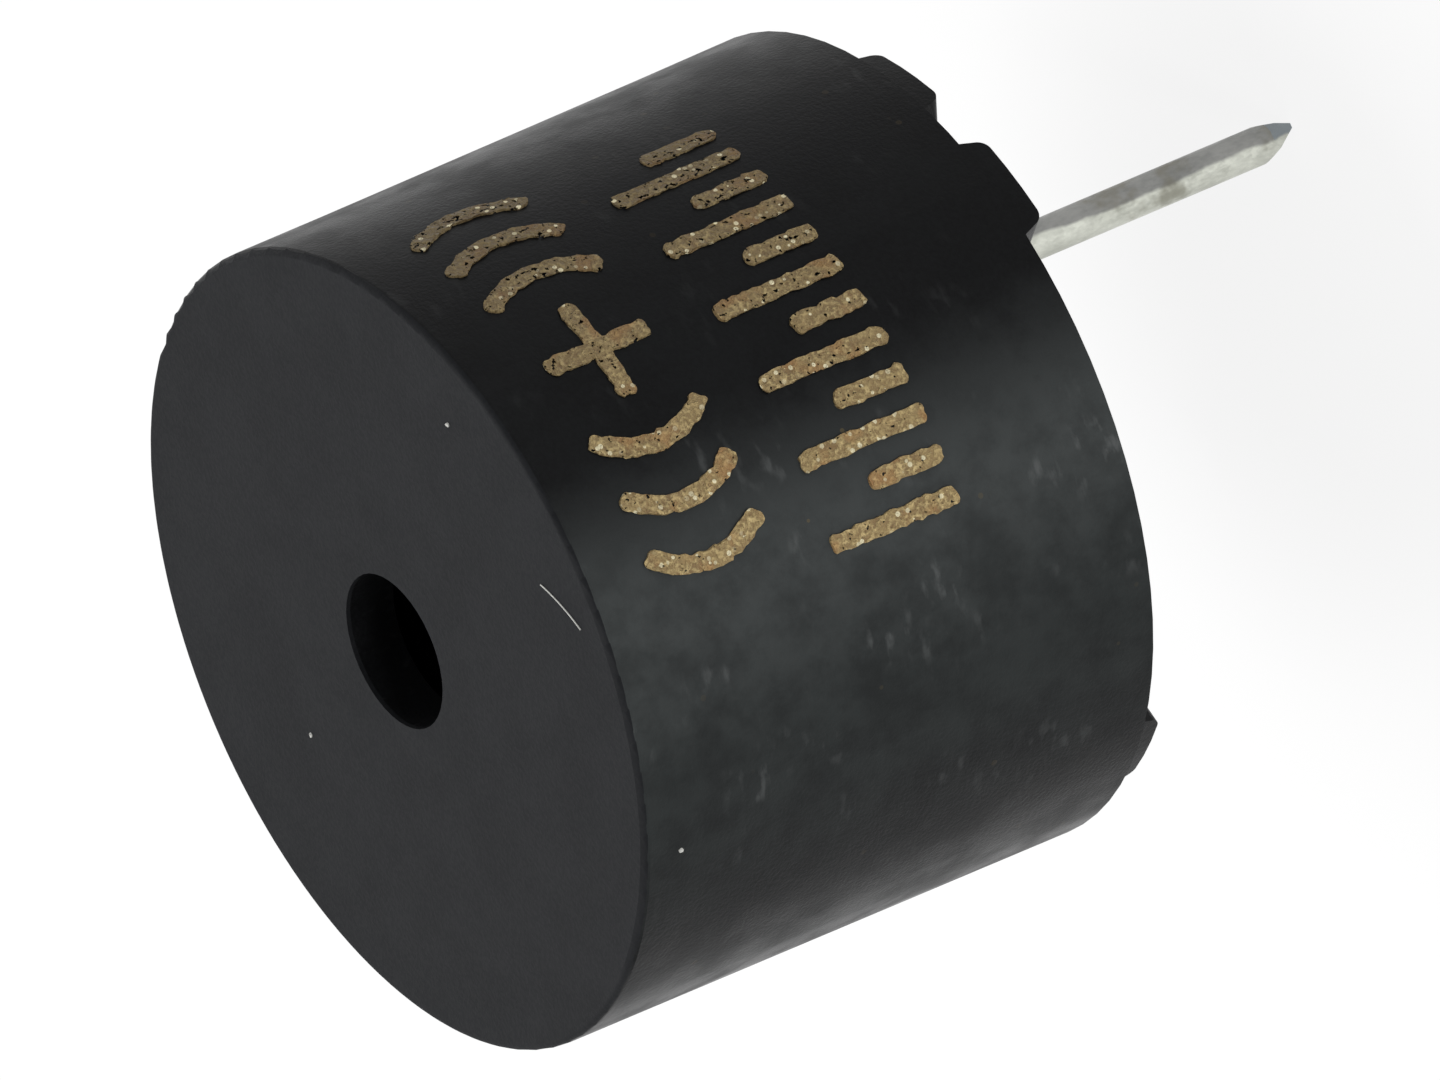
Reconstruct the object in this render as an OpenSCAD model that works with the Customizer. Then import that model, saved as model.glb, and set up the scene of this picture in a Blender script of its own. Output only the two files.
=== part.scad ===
// Magnetic buzzer with a built-in drive circuit, for through-hole boards.
// The sound-hole face points up and the pins point down. The origin is the
// centre of the seating plane, on which the moulded feet stand. The pins lie
// on the X axis, the positive one at +X. Every size is in millimetres.

/* [Housing] */
// Outer diameter of the housing at its open rim
housing_d = 12; // [11:0.1:15]
// Height of the housing from the rim to the sound-hole face
housing_h = 8.6; // [8:0.1:12]
// Draft of the outer wall, in degrees a side
draft = 0.55; // [0.1:0.05:1.5]
// Thickness of the wall at the rim
rim_wall = 0.7; // [0.6:0.05:0.8]
// Thickness of the face around the sound hole
face_t = 0.8; // [0.5:0.05:1.2]
// Radius along the outer edge of the face
face_edge_r = 0.1; // [0.05:0.01:0.3]
// Diameter of the sound hole
sound_hole_d = 2.3; // [1:0.1:4]
// Width of the ledge between the lower bore and the sound chamber
ledge_w = 0.6; // [0.4:0.05:1]
// Radius in the corner between the chamber wall and its ceiling
chamber_r = 0.4; // [0.1:0.05:0.6]
// Chamfer around the mouth of the lower bore
mouth_chamfer = 0.15; // [0.05:0.01:0.2]

/* [Centring ribs] */
// Number of ribs down the lower bore
rib_count = 6; // [3:1:12]
// Radius of a half-round rib
rib_r = 0.3; // [0.2:0.05:0.5]
// Height of a rib above the bore wall
rib_proud = 0.08; // [0.04:0.01:0.12]
// Angle of the first rib from the positive pin, in degrees
rib_turn = 30; // [0:5:60]

/* [Feet] */
// Height of a foot below the rim
foot_h = 0.5; // [0.3:0.05:1]
// Width of a foot where it leaves the rim
foot_w = 1.8; // [1:0.1:2.2]
// Distance from the outer wall to the outer side of a foot
foot_inset = 0.22; // [0.1:0.02:0.4]
// Slope of the two ends of a foot, in degrees from upright
foot_slope = 20; // [5:1:30]
// Radius of the lower corners of a foot
foot_corner_r = 0.2; // [0.05:0.01:0.25]
// Number of evenly spaced feet
foot_count = 3; // [3:1:5]
// Angle from the positive pin to the first of the evenly spaced feet, in degrees
foot_turn = 25; // [24:0.5:48]

/* [Pins] */
// Distance between the centres of the two pins
pin_pitch = 7.6; // [7:0.1:7.8]
// Diameter of the pin wire
pin_d = 0.55; // [0.4:0.05:0.7]
// Length of the positive pin below the seating plane
positive_pin_l = 5.3; // [3:0.1:12]
// Length of the negative pin below the seating plane
negative_pin_l = 4.1; // [3:0.1:12]
// Width of the flattened inner end of a pin
tang_w = 0.85; // [0.6:0.05:1]
// Thickness of the flattened inner end of a pin
tang_t = 0.28; // [0.2:0.02:0.4]
// Length over which a pin widens into its flattened end
tang_flare = 0.3; // [0.1:0.05:0.6]
// Depth inside the resin at which the flattened end begins
tang_depth = 0.05; // [0.05:0.01:0.2]
// Length by which a pin stands above the circuit board
pin_head = 0.2; // [0.1:0.05:0.4]
// Length of the two main facets of the pinched tip
pinch_l = 0.6; // [0.3:0.02:0.8]
// Length of the two side facets of the tip
pinch_side_l = 0.5; // [0.3:0.02:0.8]
// Width of the tip's blunt end, between the main facets
pinch_end_t = 0.07; // [0.03:0.01:0.15]
// Length of the tip's blunt end, between the side facets
pinch_end_l = 0.12; // [0.08:0.01:0.2]
// Distance from the axis of the pin to the middle of the blunt end
pinch_shift = 0.08; // [0:0.01:0.1]
// Turn of the pinched tip about the pin, in degrees
pinch_turn = 65; // [0:5:180]

/* [Circuit board] */
// Thickness of the circuit board
board_t = 0.6; // [0.4:0.1:1]
// Clearance around a pin's flattened end in the board
tang_gap = 0.03; // [0.01:0.01:0.1]
// Diameter of the solder on a pin, at the board
pin_solder_d = 1.4; // [1:0.1:1.8]
// Height of the solder on a pin
pin_solder_h = 0.6; // [0.3:0.05:0.9]
// Thickness of the solder around a pin, at its lower end
pin_solder_skin = 0.05; // [0.02:0.01:0.1]

/* [Drive transistor] */
// Length of the transistor body
transistor_l = 2.9; // [2.6:0.1:3.2]
// Width of the transistor body
transistor_w = 1.3; // [1.1:0.1:1.5]
// Height of the transistor body
transistor_h = 0.9; // [0.7:0.05:1]
// Distance from the centre of the board to the transistor
transistor_y = 2.3; // [2:0.1:2.6]
// Distance between the two legs on the same side
transistor_leg_spacing = 1.9; // [1.5:0.1:2.2]
// Width of a transistor leg
transistor_leg_w = 0.4; // [0.3:0.05:0.5]

/* [Flyback diode] */
// Length of the diode body
diode_l = 1.7; // [1.5:0.1:1.9]
// Width of the diode body
diode_w = 1.25; // [1:0.05:1.4]
// Height of the diode body
diode_h = 0.85; // [0.6:0.05:1]
// Width of a diode leg
diode_leg_w = 0.3; // [0.2:0.05:0.5]

/* [Base resistor] */
// Length of the resistor with its end caps
resistor_l = 1.6; // [1.4:0.1:1.8]
// Width of the resistor
resistor_w = 0.8; // [0.6:0.05:1]
// Height of the resistor
resistor_h = 0.45; // [0.3:0.05:0.6]
// Length of an end cap of the resistor
resistor_cap_l = 0.3; // [0.2:0.05:0.4]

/* [Small parts on the board] */
// Distance of the resistor and the diode from the middle of the board, along X
small_part_x = 1.45; // [1.4:0.05:1.5]
// Distance of the resistor and the diode from the middle of the board, along Y
small_part_y = 0.7; // [0.6:0.05:0.8]
// Thickness of the sheet that the legs are stamped from
leg_t = 0.12; // [0.08:0.01:0.15]
// Length of the foot of a leg on the board
leg_foot = 0.25; // [0.15:0.05:0.3]
// Length by which a leg is moulded into its body
leg_root = 0.2; // [0.1:0.05:0.3]
// Gap between a moulded body and the board
body_standoff = 0.05; // [0.02:0.01:0.1]
// Draft of a moulded body, in degrees a side
body_draft = 7; // [3:1:12]

/* [Sealing resin] */
// Depth of the resin's surface inside the rim
seal_recess = 0.5; // [0.45:0.05:0.8]
// Height of the resin below the circuit board
seal_h = 1.35; // [1.3:0.05:2]
// Radius of the hollow edge where the resin creeps along the wall
wall_creep_r = 0.25; // [0.05:0.01:0.25]
// Radius of the hollow edge where the resin creeps along a pin
pin_creep_r = 0.15; // [0.05:0.01:0.25]

/* [Magnetic motor] */
// Thickness of the yoke plate
yoke_t = 0.6; // [0.4:0.05:1]
// Height of the ring magnet
magnet_h = 2; // [1.6:0.05:2.3]
// Diameter of the pole core
pole_d = 2.2; // [1.6:0.1:2.4]
// Diameter of the spigot that fixes the core in the yoke plate
spigot_d = 1.5; // [1:0.1:1.5]
// Air gap between the core and the diaphragm
air_gap = 0.35; // [0.2:0.05:0.5]
// Clearance around a pin's flattened end in the yoke plate
head_gap = 0.23; // [0.15:0.01:0.3]

/* [Coil] */
// Height of the bobbin
bobbin_h = 2.1; // [1.6:0.05:2.2]
// Diameter of the bobbin's flanges
flange_d = 5.6; // [5:0.1:6.6]
// Thickness of a flange
flange_t = 0.25; // [0.15:0.05:0.3]
// Thickness of the bobbin's barrel
barrel_wall = 0.25; // [0.15:0.05:0.3]
// Depth from the edge of a flange to the outside of the winding
winding_depth = 0.2; // [0.1:0.05:0.3]
// Diameter of the enamelled wire
wire_d = 0.12; // [0.1:0.01:0.15]
// Angle between two neighbouring coil leads, in degrees
lead_turn = 30; // [25:1:35]
// Depth in the winding at which the leads leave it
lead_depth = 0.15; // [0.1:0.05:0.3]
// Length of a lead's end along the board
lead_end_l = 0.9; // [0.7:0.05:1]
// Diameter of the solder on a lead
lead_solder_d = 0.8; // [0.5:0.05:0.9]
// Clearance around a lead in the board
lead_gap = 0.08; // [0.05:0.01:0.15]

/* [Diaphragm and its support ring] */
// Height of the support ring from the yoke plate to the diaphragm
ring_h = 2.75; // [2.6:0.05:3.2]
// Thickness of the support ring
ring_wall = 0.7; // [0.5:0.05:1]
// Thickness of the ring's lip around the diaphragm
lip_wall = 0.2; // [0.1:0.05:0.4]
// Thickness of the diaphragm
diaphragm_t = 0.06; // [0.04:0.01:0.1]
// Free height above the diaphragm, under the ledge
float_gap = 0.1; // [0.05:0.01:0.2]
// Diameter of the weight in the middle of the diaphragm
weight_d = 4.2; // [3:0.1:5]
// Thickness of the weight
weight_t = 0.35; // [0.2:0.05:0.6]

/* [Fits] */
// Gap between the stack and the ribs that centre it
rib_gap = 0.02; // [0.01:0.01:0.04]
// Clearance around the edge of the diaphragm
edge_gap = 0.05; // [0.02:0.01:0.08]
// Clearance between the magnet and the support ring
magnet_gap = 0.1; // [0.05:0.01:0.15]
// Clearance between the bobbin's flanges and the magnet
flange_gap = 0.2; // [0.1:0.05:0.4]
// Clearance between the core and the bobbin
core_gap = 0.05; // [0.02:0.01:0.08]

/* [Hidden] */
$fn = 96;
cut = 1; // how far a cutting shape runs past the face that it cuts
edge_relief = 0.01; // how far a straight edge stops short of the arc that it runs into

// Levels, upwards from the seating plane
rim_z = foot_h;
seal_z = rim_z + seal_recess;
tang_z = seal_z + tang_depth;
board_z = seal_z + seal_h;
yoke_z = board_z + board_t;
motor_z = yoke_z + yoke_t;
diaphragm_z = motor_z + ring_h;
ledge_z = diaphragm_z + diaphragm_t + float_gap;
ceiling_z = rim_z + housing_h - face_t;
face_z = rim_z + housing_h;

// Radii from the axis
rim_radius = housing_d / 2;
bore_radius = rim_radius - rim_wall;
chamber_radius = bore_radius - ledge_w;
stack_radius = bore_radius - rib_proud - rib_gap;
foot_radius = rim_radius - foot_inset;
ring_bore_radius = stack_radius - ring_wall;
magnet_radius = ring_bore_radius - magnet_gap;
lip_radius = stack_radius - lip_wall;
diaphragm_radius = lip_radius - edge_gap;
winding_radius = flange_d / 2 - winding_depth;
lead_radius = winding_radius - lead_depth;
pin_x = pin_pitch / 2;
tang_radius = norm([tang_w, tang_t]) / 2;

// The evenly spaced feet, and one more in line with the positive pin, which it marks
foot_turns = [0, for (i = [0 : foot_count - 1]) foot_turn + i * 360 / foot_count];
lead_turns = [for (i = [-1 : 1]) 270 + i * lead_turn];

// ---- Shapes that repeat ----

// A solid of revolution up to the radius r, with its top edge rounded by edge_r
// and its wall leaning inwards by lean degrees
module rounded_disc(r, h, edge_r, lean = 0) {
    top_r = r - h * tan(lean);
    centre_x = top_r + edge_r * tan(lean) - edge_r / cos(lean);
    centre_y = h - edge_r;
    rotate_extrude() {
        polygon([[0, 0], [r, 0],
                 [centre_x + edge_r * cos(lean), centre_y + edge_r * sin(lean)],
                 [centre_x, h], [0, h]]);
        translate([centre_x, centre_y]) circle(edge_r);
    }
}

module tube(outer_r, inner_r, h) {
    difference() {
        cylinder(r = outer_r, h = h);
        translate([0, 0, -cut]) cylinder(r = inner_r, h = h + 2 * cut);
    }
}

// A part on the underside of the board, drawn as if it lay on top of it
module under_board() {
    translate([0, 0, board_z]) mirror([0, 0, 1]) children();
}

// A moulded package that is widest at its parting line, halfway up
module moulded_body(l, w, h) {
    lean = h / 2 * tan(body_draft);
    translate([0, 0, body_standoff]) rotate([90, 0, 90]) translate([0, 0, -l / 2])
        linear_extrude(l)
            polygon([[-w / 2 + lean, 0], [w / 2 - lean, 0], [w / 2, h / 2],
                     [w / 2 - lean, h], [-w / 2 + lean, h], [-w / 2, h / 2]]);
}

// A bent leg that is rooted in a package at half its height and ends in a foot on
// the board. It runs along +X and leaves the side of a body of half-length reach.
module bent_leg(reach, width, body_h) {
    mid = body_standoff + body_h / 2;
    knee = reach + 2 * leg_t;
    rotate([90, 0, 0]) translate([0, 0, -width / 2]) linear_extrude(width)
        polygon([[reach - leg_root, mid - leg_t / 2], [knee - leg_t, mid - leg_t / 2],
                 [knee - leg_t, 0], [knee + leg_foot, 0], [knee + leg_foot, leg_t],
                 [knee, leg_t], [knee, mid + leg_t / 2], [reach - leg_root, mid + leg_t / 2]]);
}

// ---- Housing ----

// The outline of a foot, seen from outside: its lower corners are round
module foot_outline() {
    lower_half = foot_w / 2 - foot_h * tan(foot_slope);
    corner_x = lower_half + foot_corner_r * tan(foot_slope) - foot_corner_r / cos(foot_slope);
    side = [corner_x + foot_corner_r * cos(foot_slope), foot_corner_r * (1 - sin(foot_slope))];
    side_end = side + edge_relief * [sin(foot_slope), cos(foot_slope)];
    base_end = corner_x - edge_relief;
    root = foot_h + mouth_chamfer; // the foot is rooted past the chamfer of the bore
    polygon([[-foot_w / 2, root], [-foot_w / 2, foot_h], [-side_end.x, side_end.y], [-base_end, 0],
             [base_end, 0], side_end, [foot_w / 2, foot_h], [foot_w / 2, root]]);
    for (s = [-1, 1]) translate([s * corner_x, foot_corner_r]) circle(foot_corner_r);
}

// The feet lie within a ring that continues the bore
module feet() {
    intersection() {
        tube(foot_radius, bore_radius, foot_h + mouth_chamfer);
        for (turn = foot_turns) rotate([90, 0, turn + 90]) linear_extrude(rim_radius) foot_outline();
    }
}

// A half-round rib from the board, where the resin ends, up into the ledge
module rib() {
    translate([bore_radius + rib_r - rib_proud, 0, board_z])
        cylinder(r = rib_r, h = ledge_z + rib_r - board_z);
}

module housing() {
    color([0.11, 0.115, 0.12]) {
        difference() {
            translate([0, 0, rim_z]) rounded_disc(rim_radius, housing_h, face_edge_r, draft);
            translate([0, 0, rim_z - cut]) cylinder(r = bore_radius, h = ledge_z - rim_z + cut);
            translate([0, 0, rim_z - cut])
                rounded_disc(chamber_radius, ceiling_z - rim_z + cut, chamber_r);
            translate([0, 0, rim_z])
                cylinder(r1 = bore_radius + mouth_chamfer, r2 = bore_radius, h = mouth_chamfer);
            cylinder(d = sound_hole_d, h = face_z + cut);
        }
        for (i = [0 : rib_count - 1]) rotate(rib_turn + i * 360 / rib_count) rib();
        feet();
    }
}

// ---- Pins and sealing resin ----

// A pin of tinned wire. Its lower end is pinched to a blunt point with four facets, a
// little to one side of the axis. Its inner end is pressed flat, so that it stays in
// the board and can't turn or pull out of the resin.
module pin(l) {
    intersection() {
        translate([0, 0, -l]) cylinder(d = pin_d, h = l + tang_z);
        rotate(pinch_turn) pinch(l, pinch_l, pinch_end_t, pinch_shift);
        rotate(pinch_turn + 90) pinch(l, pinch_side_l, pinch_end_l, 0);
    }
    tang();
}

// A slab as wide as the wire, which tapers to the given width at the tip
module pinch(l, taper_l, width, shift) {
    r = pin_d / 2;
    rotate([90, 0, 0]) translate([0, 0, -pin_d]) linear_extrude(2 * pin_d)
        polygon([[shift - width / 2, -l], [shift + width / 2, -l], [r, taper_l - l],
                 [r, tang_z], [-r, tang_z], [-r, taper_l - l]]);
}

// It starts inside the wire and widens to its full width
module tang() {
    root = pin_d / 2 - tang_t / 2;
    top = yoke_z + pin_head;
    rotate([90, 0, 90]) translate([0, 0, -tang_t / 2]) linear_extrude(tang_t)
        polygon([[-root, tang_z - tang_flare / 2], [root, tang_z - tang_flare / 2],
                 [tang_w / 2, tang_z + tang_flare], [tang_w / 2, top],
                 [-tang_w / 2, top], [-tang_w / 2, tang_z + tang_flare]]);
}

module positive_pin() {
    color([0.72, 0.72, 0.7]) translate([pin_x, 0, 0]) pin(positive_pin_l);
}

module negative_pin() {
    color([0.72, 0.72, 0.7]) translate([-pin_x, 0, 0]) pin(negative_pin_l);
}

// Round holes for the flattened ends of the two pins
module pin_holes(gap) {
    for (s = [-1, 1]) translate([s * pin_x, 0, 0])
        cylinder(r = tang_radius + gap, h = motor_z + cut);
}

module pin_solder() {
    color([0.62, 0.62, 0.6]) difference() {
        for (s = [-1, 1]) translate([s * pin_x, 0, 0]) under_board()
            cylinder(r1 = pin_solder_d / 2, r2 = tang_radius + pin_solder_skin, h = pin_solder_h);
        positive_pin();
        negative_pin();
    }
}

// The hollow ring of resin that creeps down a wall of radius r before it sets. The
// resin lies inside the wall of the bore (side = -1) or outside a pin (side = 1).
module creep(r, creep_r, side) {
    translate([0, 0, seal_z]) rotate_extrude() difference() {
        translate([min(r, r + side * creep_r), -creep_r]) square(creep_r);
        translate([r + side * creep_r, -creep_r]) circle(creep_r);
    }
}

// The resin fills the rim up to the board and buries the parts under it
module sealing_resin() {
    color([0.09, 0.09, 0.09]) difference() {
        union() {
            translate([0, 0, seal_z]) cylinder(r = bore_radius, h = seal_h);
            creep(bore_radius, wall_creep_r, -1);
            for (s = [-1, 1]) translate([s * pin_x, 0, 0]) creep(pin_d / 2, pin_creep_r, 1);
        }
        positive_pin();
        negative_pin();
        pin_solder();
        transistor_body();
        transistor_legs();
        diode_body();
        diode_legs();
        resistor_body();
        resistor_caps();
        coil_leads();
        lead_solder();
    }
}

// ---- Circuit board and the parts under it ----

// The room that the coil leads take up, from the resin to the winding
module lead_holes(gap) {
    for (turn = lead_turns) rotate(turn) translate([lead_radius, 0, 0])
        cylinder(d = wire_d + 2 * gap, h = diaphragm_z);
}

module circuit_board() {
    color([0.1, 0.32, 0.16]) difference() {
        translate([0, 0, board_z]) cylinder(r = stack_radius, h = board_t);
        pin_holes(tang_gap);
        lead_holes(lead_gap);
    }
}

module transistor_body() {
    color([0.13, 0.13, 0.14]) difference() {
        under_board() translate([0, transistor_y, 0])
            moulded_body(transistor_l, transistor_w, transistor_h);
        transistor_legs();
    }
}

// Two legs on the side of the pins' line, and one on the other side
module transistor_legs() {
    color([0.75, 0.75, 0.73]) under_board() translate([0, transistor_y, 0]) {
        rotate(90) bent_leg(transistor_w / 2, transistor_leg_w, transistor_h);
        for (s = [-1, 1]) translate([s * transistor_leg_spacing / 2, 0, 0])
            rotate(-90) bent_leg(transistor_w / 2, transistor_leg_w, transistor_h);
    }
}

module diode_body() {
    color([0.13, 0.13, 0.14]) difference() {
        under_board() translate([small_part_x, -small_part_y, 0])
            rotate(90) moulded_body(diode_w, diode_l, diode_h);
        diode_legs();
    }
}

module diode_legs() {
    color([0.75, 0.75, 0.73]) under_board() translate([small_part_x, -small_part_y, 0])
        for (turn = [0, 180]) rotate(turn) bent_leg(diode_l / 2, diode_leg_w, diode_h);
}

module resistor_body() {
    l = resistor_l - 2 * resistor_cap_l;
    color([0.2, 0.2, 0.22]) under_board()
        translate([-small_part_x - l / 2, -small_part_y - resistor_w / 2, 0])
            cube([l, resistor_w, resistor_h]);
}

module resistor_caps() {
    color([0.75, 0.75, 0.73]) under_board()
        for (x = [-resistor_l / 2, resistor_l / 2 - resistor_cap_l])
            translate([x - small_part_x, -small_part_y - resistor_w / 2, 0])
                cube([resistor_cap_l, resistor_w, resistor_h]);
}

// ---- Coil and its leads ----

winding_z = motor_z + flange_t;
winding_h = bobbin_h - 2 * flange_t;
barrel_bore = pole_d / 2 + core_gap;
barrel_radius = barrel_bore + barrel_wall;

module coil_bobbin() {
    color([0.85, 0.83, 0.76]) difference() {
        translate([0, 0, motor_z]) union() {
            cylinder(r = barrel_radius, h = bobbin_h);
            cylinder(d = flange_d, h = flange_t);
            translate([0, 0, bobbin_h - flange_t]) cylinder(d = flange_d, h = flange_t);
        }
        translate([0, 0, motor_z - cut]) cylinder(r = barrel_bore, h = bobbin_h + 2 * cut);
        lead_notches();
    }
}

// Notches in the lower flange, through which the leads go down
module lead_notches() {
    width = wire_d + 2 * lead_gap;
    for (turn = lead_turns) rotate(turn) translate([lead_radius, 0, motor_z - cut]) {
        cylinder(d = width, h = flange_t + cut);
        translate([0, -width / 2, 0]) cube([flange_d, width, flange_t + cut]);
    }
}

// The outer layer of turns shows as fine ridges
module coil_winding() {
    turns = floor(winding_h / wire_d);
    pitch = winding_h / turns;
    color([0.72, 0.4, 0.2]) translate([0, 0, winding_z]) rotate_extrude() {
        translate([barrel_radius, 0])
            square([winding_radius - wire_d / 2 - barrel_radius, winding_h]);
        for (i = [0 : turns - 1])
            translate([winding_radius - wire_d / 2, (i + 0.5) * pitch]) circle(d = wire_d);
    }
}

// A lead drops from the winding, through the yoke plate and the board, and turns
// outwards along the underside of the board
module coil_leads() {
    bend_z = board_z - wire_d;
    color([0.72, 0.4, 0.2])
        for (turn = lead_turns) rotate(turn) translate([lead_radius, 0, bend_z]) {
            cylinder(d = wire_d, h = winding_z - bend_z);
            sphere(d = wire_d);
            rotate([0, 90, 0]) cylinder(d = wire_d, h = lead_end_l);
        }
}

module lead_solder() {
    color([0.62, 0.62, 0.6]) difference() {
        for (turn = lead_turns) rotate(turn) translate([lead_radius + lead_end_l, 0, board_z])
            intersection() {
                sphere(d = lead_solder_d);
                translate([-lead_solder_d, -lead_solder_d, -lead_solder_d])
                    cube([2 * lead_solder_d, 2 * lead_solder_d, lead_solder_d]);
            }
        coil_leads();
    }
}

// ---- Magnetic motor ----

module yoke_plate() {
    color([0.5, 0.5, 0.5]) difference() {
        translate([0, 0, yoke_z]) cylinder(r = stack_radius, h = yoke_t);
        cylinder(d = spigot_d, h = motor_z + cut);
        pin_holes(head_gap);
        lead_holes(2 * lead_gap);
    }
}

module ring_magnet() {
    color([0.2, 0.2, 0.21]) translate([0, 0, motor_z])
        tube(magnet_radius, flange_d / 2 + flange_gap, magnet_h);
}

// The core stands on the yoke plate, and its spigot is riveted into the plate
module pole_core() {
    color([0.6, 0.6, 0.6]) {
        translate([0, 0, motor_z]) rounded_disc(pole_d / 2, ring_h - air_gap, wire_d);
        translate([0, 0, yoke_z]) cylinder(d = spigot_d, h = yoke_t);
    }
}

// The ring carries the diaphragm on a step, inside a lip that meets the ledge
module support_ring() {
    color([0.8, 0.78, 0.7]) difference() {
        translate([0, 0, motor_z])
            tube(stack_radius, ring_bore_radius, ledge_z - motor_z);
        translate([0, 0, diaphragm_z]) cylinder(r = lip_radius, h = ring_h);
    }
}

module diaphragm() {
    color([0.7, 0.7, 0.68]) translate([0, 0, diaphragm_z]) cylinder(r = diaphragm_radius, h = diaphragm_t);
}

module diaphragm_weight() {
    color([0.6, 0.6, 0.58]) translate([0, 0, diaphragm_z + diaphragm_t])
        cylinder(d = weight_d, h = weight_t);
}

housing();
sealing_resin();
positive_pin();
negative_pin();
pin_solder();
circuit_board();
transistor_body();
transistor_legs();
diode_body();
diode_legs();
resistor_body();
resistor_caps();
coil_leads();
lead_solder();
yoke_plate();
ring_magnet();
pole_core();
coil_bobbin();
coil_winding();
support_ring();
diaphragm();
diaphragm_weight();
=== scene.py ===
import math
import bpy
import bmesh
from mathutils import Matrix, Quaternion, Vector, noise


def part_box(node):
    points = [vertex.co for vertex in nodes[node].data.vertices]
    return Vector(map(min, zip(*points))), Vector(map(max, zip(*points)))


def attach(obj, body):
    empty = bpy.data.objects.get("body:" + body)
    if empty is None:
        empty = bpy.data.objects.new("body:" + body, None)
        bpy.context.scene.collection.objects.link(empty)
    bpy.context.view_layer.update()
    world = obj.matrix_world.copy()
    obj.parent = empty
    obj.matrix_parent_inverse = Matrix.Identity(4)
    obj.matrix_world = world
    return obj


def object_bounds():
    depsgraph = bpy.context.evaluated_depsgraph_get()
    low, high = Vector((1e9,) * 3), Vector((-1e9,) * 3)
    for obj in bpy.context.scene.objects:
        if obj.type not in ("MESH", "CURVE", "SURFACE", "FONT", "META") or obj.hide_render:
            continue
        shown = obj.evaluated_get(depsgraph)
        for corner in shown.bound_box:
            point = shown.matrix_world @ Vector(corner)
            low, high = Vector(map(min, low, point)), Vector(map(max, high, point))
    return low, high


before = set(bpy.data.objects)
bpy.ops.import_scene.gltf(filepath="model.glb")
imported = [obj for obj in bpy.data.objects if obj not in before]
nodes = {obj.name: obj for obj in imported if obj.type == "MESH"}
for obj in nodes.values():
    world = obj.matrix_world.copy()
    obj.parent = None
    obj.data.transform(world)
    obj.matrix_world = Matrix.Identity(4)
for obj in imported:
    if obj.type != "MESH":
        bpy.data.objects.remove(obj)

mm = 0.001
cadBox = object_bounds()
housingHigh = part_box("housing")[1]
scene = bpy.context.scene
scene.view_settings.view_transform = "Standard"
print("frame loaded,", len(nodes), "nodes")


# colours are written as on a screen, 0 to 255
def screenColour(red, green, blue):
    linear = []
    for c in (red / 255, green / 255, blue / 255):
        linear.append(c / 12.92 if c <= 0.04045 else ((c + 0.055) / 1.055) ** 2.4)
    return (*linear, 1.0)


def addNode(tree, kind, x=0, y=0, **values):
    node = tree.nodes.new(kind)
    node.location = (x, y)
    for name, value in values.items():
        setattr(node, name, value)
    return node


# joins an output, or sets a plain value, on a named input
def feed(tree, node, socket, source):
    if isinstance(source, bpy.types.NodeSocket):
        tree.links.new(source, node.inputs[socket])
    else:
        node.inputs[socket].default_value = source


def mathNode(tree, operation, a, b=None, x=0, y=0, clamp=False):
    node = addNode(tree, "ShaderNodeMath", x, y, operation=operation, use_clamp=clamp)
    feed(tree, node, 0, a)
    if b is not None:
        feed(tree, node, 1, b)
    return node.outputs[0]


# a smooth step from 0 at low to 1 at high
def stepNode(tree, value, low, high, x=0, y=0):
    node = addNode(tree, "ShaderNodeMapRange", x, y, interpolation_type="SMOOTHSTEP")
    feed(tree, node, "Value", value)
    feed(tree, node, "From Min", low)
    feed(tree, node, "From Max", high)
    return node.outputs["Result"]


# 1 between two angles round the Z axis, fading over the pair of degrees at each end
def stretchNode(tree, turn, start, end, x=0, y=0):
    rising = stepNode(tree, turn, math.radians(start[0]), math.radians(start[1]), x, y)
    falling = stepNode(tree, turn, math.radians(end[0]), math.radians(end[1]), x, y - 200)
    left = mathNode(tree, "SUBTRACT", 1.0, falling, x + 200, y - 200)
    return mathNode(tree, "MULTIPLY", rising, left, x + 400, y)


# turns 0 to 1 into low to high
def rangeNode(tree, value, low, high, x=0, y=0):
    node = addNode(tree, "ShaderNodeMapRange", x, y)
    feed(tree, node, "Value", value)
    feed(tree, node, "To Min", low)
    feed(tree, node, "To Max", high)
    return node.outputs["Result"]


def blendValues(tree, amount, first, second, x=0, y=0):
    node = addNode(tree, "ShaderNodeMix", x, y, data_type="FLOAT")
    for index, source in ((0, amount), (2, first), (3, second)):
        feed(tree, node, index, source)
    return node.outputs[0]


# first and second are outputs, or colours as on a screen
def mixColour(tree, amount, first, second, x=0, y=0):
    node = addNode(tree, "ShaderNodeMix", x, y, data_type="RGBA")
    feed(tree, node, 0, amount)
    for index, source in ((6, first), (7, second)):
        feed(tree, node, index, screenColour(*source) if isinstance(source, tuple) else source)
    return node.outputs[2]


def noiseNode(tree, place, scale, detail=2.0, roughness=0.5, x=0, y=0):
    node = addNode(tree, "ShaderNodeTexNoise", x, y)
    feed(tree, node, "Vector", place)
    feed(tree, node, "Scale", scale)
    feed(tree, node, "Detail", detail)
    feed(tree, node, "Roughness", roughness)
    return node.outputs["Fac"]


def stretchPlace(tree, place, stretch, x=0, y=0):
    node = addNode(tree, "ShaderNodeVectorMath", x, y, operation="MULTIPLY")
    feed(tree, node, 0, place)
    feed(tree, node, 1, stretch)
    return node.outputs[0]


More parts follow.
